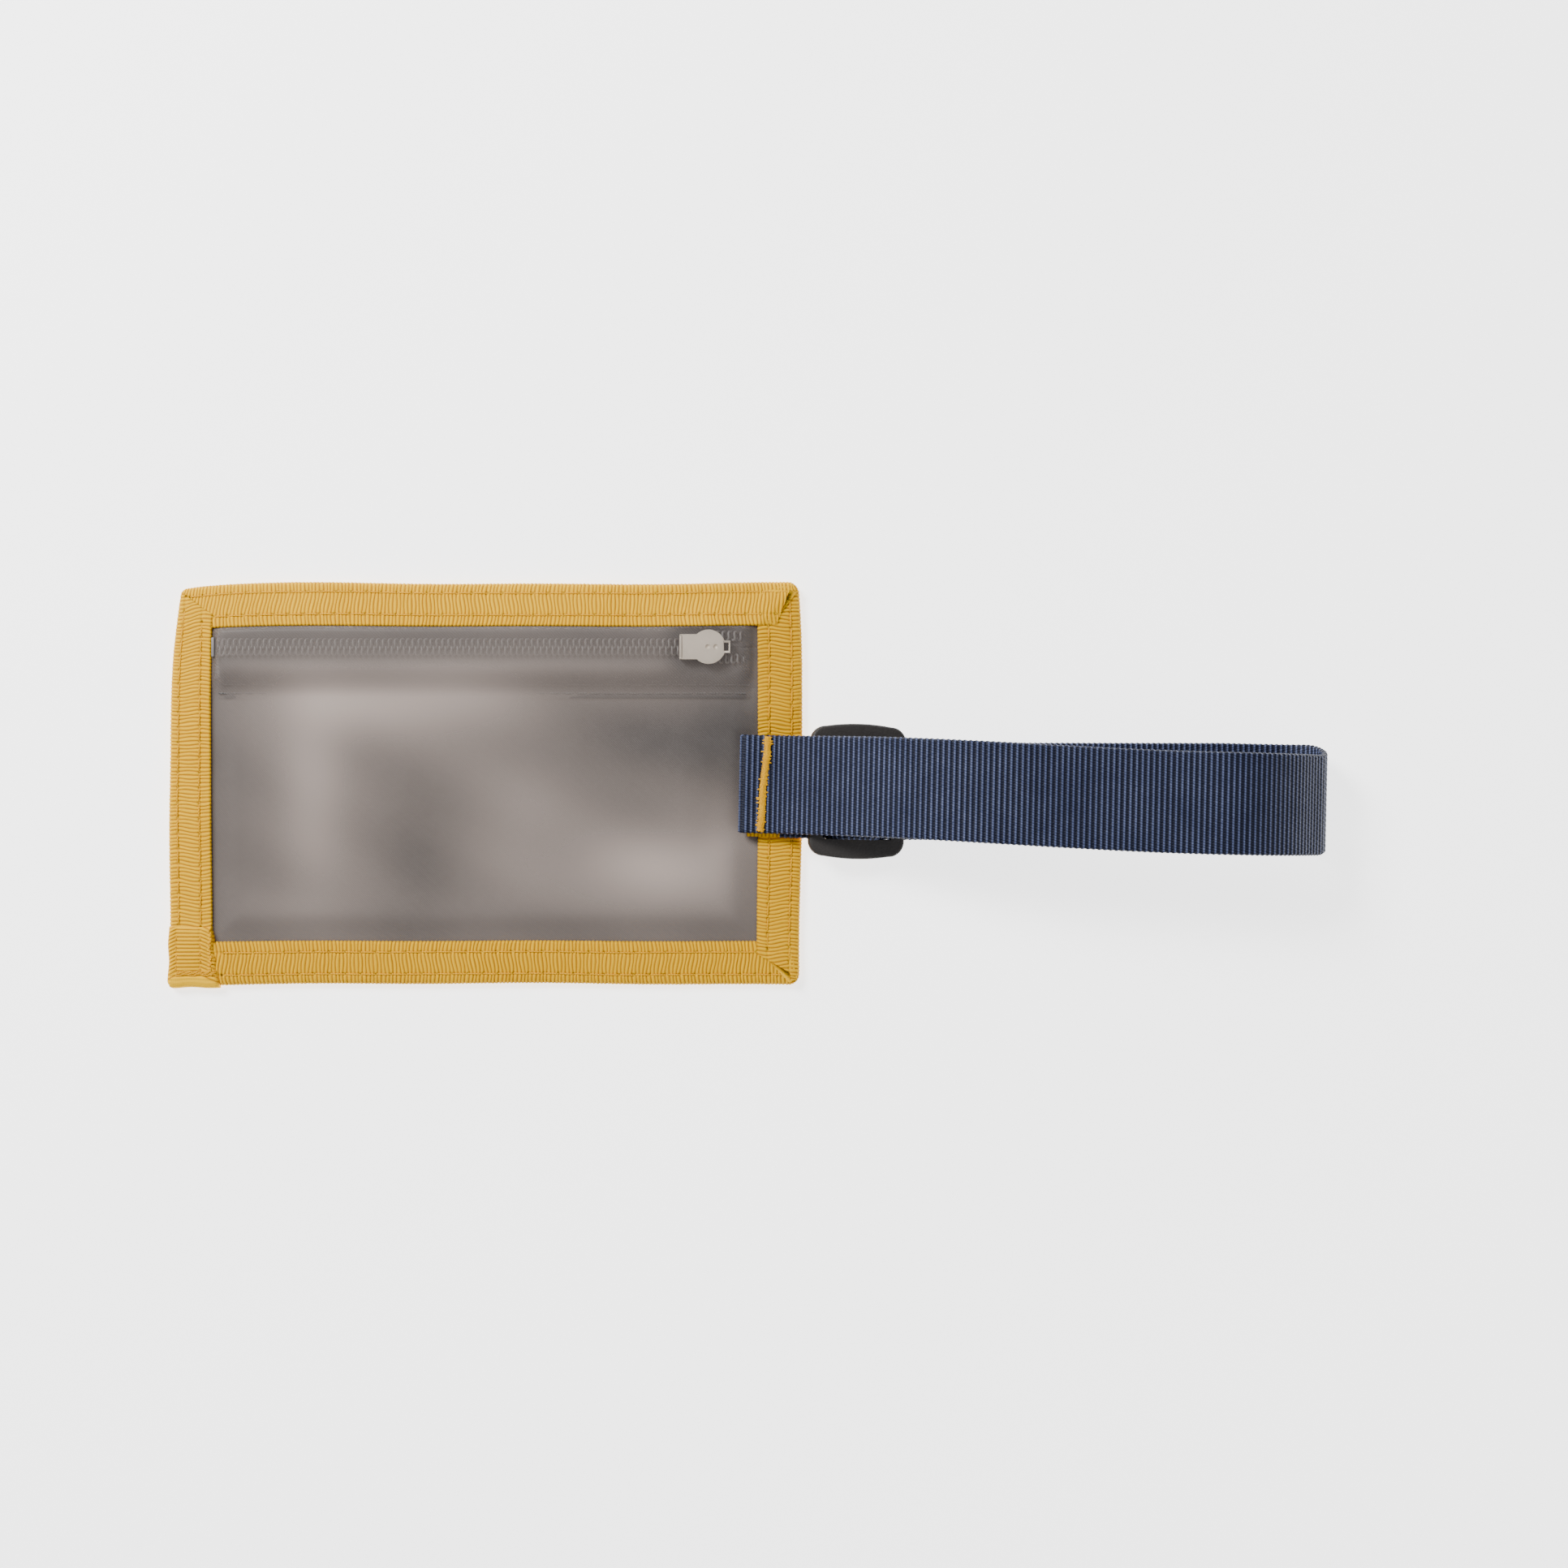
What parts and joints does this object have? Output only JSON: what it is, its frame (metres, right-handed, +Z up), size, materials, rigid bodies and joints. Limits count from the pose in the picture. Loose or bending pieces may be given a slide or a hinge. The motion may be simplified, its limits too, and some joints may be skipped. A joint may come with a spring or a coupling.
{
  "type": "luggage tag",
  "caption": "Zipped pouch with a frosted window, bound edges and a sewn webbing strap that loops back to a triglide buckle.",
  "frame": {"origin": "centre of the tag's outline, on the plane it lies on", "axes": "+X from the pouch to the strap's loop, +Y across towards the zipper's edge, +Z up through the window"},
  "size_m": [0.2264, 0.0794, 0.0237],
  "materials": {
    "film": "frosted",
    "panel_cloth": "fine woven",
    "zipper_tape": "knitted",
    "zipper_coil": "satin",
    "slider_metal": "satin",
    "grey_thread": "thread",
    "binding_tape": "ribbed grosgrain",
    "yellow_thread": "thread",
    "webbing": "ribbed weave",
    "buckle_plastic": "fine texture"
  },
  "bodies": {
    "pouch": {"window_film": "film", "back_panel": "panel_cloth", "zipper_tape_upper": "zipper_tape", "zipper_tape_lower": "zipper_tape", "zipper_coil_upper": "zipper_coil", "zipper_coil_lower": "zipper_coil", "zipper_stop": "slider_metal", "zipper_seam_stitching": "grey_thread", "binding_top": "binding_tape", "binding_bottom": "binding_tape", "binding_left": "binding_tape", "binding_right": "binding_tape", "binding_end_fold": "binding_tape", "edge_stitching_outer": "yellow_thread", "edge_stitching_inner": "yellow_thread", "strap_anchor": "webbing", "strap_bartack": "yellow_thread", "tab_anchor": "binding_tape"},
    "slider": {"slider_body": "slider_metal", "slider_crown": "slider_metal"},
    "puller": {"puller_tab": "slider_metal"},
    "strap": {"strap_rise": "webbing", "strap_shoulder": "webbing", "strap_top": "webbing", "strap_fall": "webbing", "strap_drop": "webbing", "strap_tip": "webbing", "strap_return": "webbing", "strap_threaded": "webbing", "strap_tail": "webbing", "buckle_tab": "binding_tape"},
    "buckle": {"buckle": "buckle_plastic"}
  },
  "joints": [
    {"name": "zipper_slide", "type": "slide", "parent": "pouch", "child": "slider", "axis": [1, 0, 0], "range_m": [-0.08, 0], "deforming": ["zipper_coil_upper", "zipper_coil_lower"]},
    {"name": "puller_swing", "type": "hinge", "parent": "slider", "child": "puller", "pos_m": [-0.00735, 0.0268, 0.00135], "axis": [0, -1, 0], "range_deg": [0, 160]},
    {"name": "strap_flex", "type": "hinge", "parent": "pouch", "child": "strap", "pos_m": [0.0121, 0, 0.003], "axis": [0, 1, 0], "range_deg": [-95, 90], "deforming": ["strap_rise", "strap_tail", "buckle_tab", "strap_threaded"]},
    {"name": "buckle_tilt", "type": "hinge", "parent": "strap", "child": "buckle", "pos_m": [0.02228, -0.00046, 0.00411], "axis": [0.0227, 0.9997, 0], "range_deg": [-4, 4]}
  ]
}
